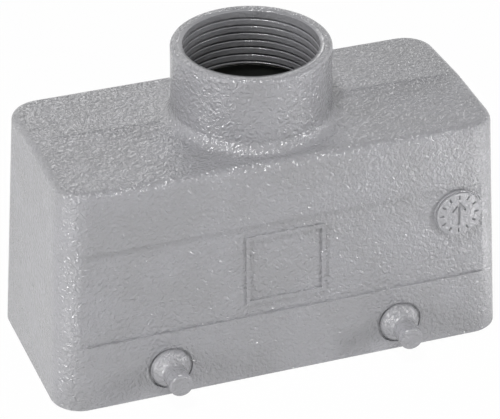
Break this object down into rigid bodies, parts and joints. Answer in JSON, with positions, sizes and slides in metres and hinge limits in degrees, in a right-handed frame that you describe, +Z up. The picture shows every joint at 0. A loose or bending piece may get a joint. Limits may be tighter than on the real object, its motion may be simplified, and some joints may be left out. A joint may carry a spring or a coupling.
{
  "type": "heavy duty connector cable hood with male contact insert",
  "caption": "Grey powder-coated cable hood with a threaded round top entry and locking pegs, holding a rectangular insert of screw-terminal pin contacts",
  "frame": {"origin": "middle of the rectangle that bounds the open rim, on the plane the hood stands on", "axes": "+Z up through the cable entry, +X along the long side, -Y out of the long side that carries the round disc"},
  "size_m": [0.0934, 0.0552, 0.063],
  "materials": {
    "powder_coat": "grey powder coat with a fine orange peel",
    "insulator": "moulded light grey polycarbonate",
    "contact_plating": "silver-plated copper alloy",
    "zinc_steel": "bright zinc-plated steel"
  },
  "bodies": {
    "root": {"hood": "powder_coat", "insulator": "insulator", "peg_front_left": "powder_coat", "fixing_screw_front_left": "zinc_steel", "lock_washer_front_left": "zinc_steel", "peg_front_right": "powder_coat", "fixing_screw_front_right": "zinc_steel", "lock_washer_front_right": "zinc_steel", "peg_back_left": "powder_coat", "fixing_screw_back_left": "zinc_steel", "lock_washer_back_left": "zinc_steel", "peg_back_right": "powder_coat", "fixing_screw_back_right": "zinc_steel", "lock_washer_back_right": "zinc_steel", "contact_01": "contact_plating", "clamp_screw_01": "zinc_steel", "contact_02": "contact_plating", "clamp_screw_02": "zinc_steel", "contact_03": "contact_plating", "clamp_screw_03": "zinc_steel", "contact_04": "contact_plating", "clamp_screw_04": "zinc_steel", "contact_05": "contact_plating", "clamp_screw_05": "zinc_steel", "contact_06": "contact_plating", "clamp_screw_06": "zinc_steel", "contact_07": "contact_plating", "clamp_screw_07": "zinc_steel", "contact_08": "contact_plating", "clamp_screw_08": "zinc_steel", "contact_09": "contact_plating", "clamp_screw_09": "zinc_steel", "contact_10": "contact_plating", "clamp_screw_10": "zinc_steel", "contact_11": "contact_plating", "clamp_screw_11": "zinc_steel", "contact_12": "contact_plating", "clamp_screw_12": "zinc_steel", "contact_13": "contact_plating", "clamp_screw_13": "zinc_steel", "contact_14": "contact_plating", "clamp_screw_14": "zinc_steel", "contact_15": "contact_plating", "clamp_screw_15": "zinc_steel", "contact_16": "contact_plating", "clamp_screw_16": "zinc_steel", "earth_plate_left": "zinc_steel", "earth_nut_left": "zinc_steel", "earth_clamp_left": "zinc_steel", "earth_screw_left": "zinc_steel", "earth_plate_right": "zinc_steel", "earth_nut_right": "zinc_steel", "earth_clamp_right": "zinc_steel", "earth_screw_right": "zinc_steel"}
  },
  "joints": []
}
